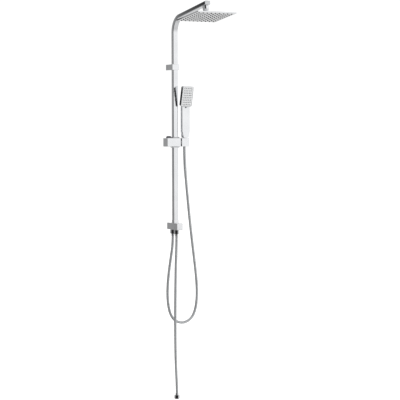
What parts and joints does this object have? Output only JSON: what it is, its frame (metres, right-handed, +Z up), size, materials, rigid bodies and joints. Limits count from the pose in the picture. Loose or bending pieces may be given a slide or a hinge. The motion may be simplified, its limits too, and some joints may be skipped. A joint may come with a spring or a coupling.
{
  "type": "rainfall shower column",
  "caption": "Wall-mounted square shower column: bent riser, square rain head on a swivel, sliding hand shower holder with hose, square diverter and a supply hose.",
  "frame": {"origin": "middle of the lower wall fixing, on the wall plane", "axes": "+Z up along the riser, +Y into the wall, so the user stands on the -Y side; +X to the right of a person who faces the wall"},
  "size_m": [0.2413, 0.4927, 1.9834],
  "materials": {
    "chrome_brass": "polished chrome plate",
    "chrome_abs": "chrome-plated plastic",
    "brushed_tube": "polished stainless tube",
    "dark_trim": "dark grey gloss plastic",
    "face_plate": "chromed sheet",
    "stainless": "stainless",
    "hose": "silver spiral under clear sleeve",
    "seal_rubber": "matt black",
    "nozzle_silicone": "soft grey silicone",
    "grey_acetal": "satin grey acetal"
  },
  "bodies": {
    "column": {"lower_rail": "brushed_tube", "overhead_arm": "brushed_tube", "arm_end_cap": "stainless", "arm_outlet_nipple": "chrome_brass", "rail_joint_sleeve": "chrome_brass", "rail_o_rings": "seal_rubber", "upper_wall_boss": "chrome_brass", "upper_rail_collar": "chrome_brass", "wall_studs": "chrome_brass", "wall_grub_screws": "stainless", "diverter_body": "chrome_brass", "rail_union_collar": "chrome_brass", "diverter_cartridge": "chrome_brass", "cartridge_gland": "chrome_brass", "hand_outlet_nipple": "chrome_brass", "supply_inlet_nipple": "chrome_brass", "supply_hose": "hose", "supply_hose_nut": "chrome_brass", "supply_hose_ferrules": "stainless", "hose_washers": "seal_rubber", "hand_hose": "hose", "hand_hose_nut": "chrome_brass", "hand_hose_ferrule": "stainless"},
    "head_swivel": {"swivel_nut": "chrome_brass", "swivel_washer": "seal_rubber", "ball_stud": "chrome_brass"},
    "rain_head": {"ball_retaining_ring": "chrome_brass", "head_inlet_boss": "grey_acetal", "head_back_shell": "chrome_abs", "head_gasket": "seal_rubber", "head_face_plate": "face_plate", "head_nozzles": "nozzle_silicone"},
    "knob": {"diverter_knob": "chrome_brass", "diverter_spindle": "chrome_brass", "knob_screw": "stainless"},
    "slider": {"slider_body": "chrome_abs", "slider_end_cap": "chrome_abs", "upper_rail_bush": "grey_acetal", "lower_rail_bush": "grey_acetal", "brake_plunger": "grey_acetal", "brake_spring": "stainless", "pivot_lock_screw": "stainless", "pivot_washer": "grey_acetal", "button_spring": "stainless", "hand_hose_neck": "hose"},
    "button": {"slider_button": "dark_trim"},
    "holder": {"holder_cradle": "chrome_abs", "pivot_pin": "stainless"},
    "hand_shower": {"shower_body": "chrome_abs", "waterway_tube": "grey_acetal", "shower_face": "grey_acetal", "shower_nozzles": "nozzle_silicone", "cone_nut": "chrome_brass", "shower_nipple": "grey_acetal", "shower_washer": "seal_rubber", "hand_hose_top_ferrule": "stainless", "hand_hose_end": "hose"},
    "end_nut": {"supply_end_nut": "chrome_brass"}
  },
  "joints": [
    {"name": "head_swivel_turn", "type": "hinge", "parent": "column", "child": "head_swivel", "pos_m": [0, -0.375, 1.09377], "axis": [0, 0.1616, 0.9869], "continuous": true},
    {"name": "head_tilt", "type": "hinge", "parent": "head_swivel", "child": "rain_head", "pos_m": [0, -0.38276, 1.04641], "axis": [1, 0, 0], "range_deg": [-15, 15]},
    {"name": "knob_turn", "type": "hinge", "parent": "column", "child": "knob", "pos_m": [0, -0.107, 0], "axis": [0, -1, 0], "range_deg": [-90, 90]},
    {"name": "slider_travel", "type": "slide", "parent": "column", "child": "slider", "axis": [0, 0, 1], "range_m": [-0.355, 0.33], "deforming": ["hand_hose"]},
    {"name": "button_press", "type": "slide", "parent": "slider", "child": "button", "axis": [0, 0, -1], "range_m": [0, 0.003], "stiffness_N_per_m": 600, "springref_m": -0.002, "deforming": ["button_spring"]},
    {"name": "holder_tilt", "type": "hinge", "parent": "slider", "child": "holder", "pos_m": [0.022, -0.075, 0.424], "axis": [1, 0, 0], "range_deg": [-10, 25], "deforming": ["hand_hose_neck"]},
    {"name": "hand_shower_lift", "type": "slide", "parent": "holder", "child": "hand_shower", "axis": [0, 0, 1], "range_m": [0, 0.045], "deforming": ["hand_hose_neck"]},
    {"name": "end_nut_turn", "type": "hinge", "parent": "column", "child": "end_nut", "pos_m": [-0.001, -0.071, -0.861], "axis": [0, 0, 1], "continuous": true}
  ]
}
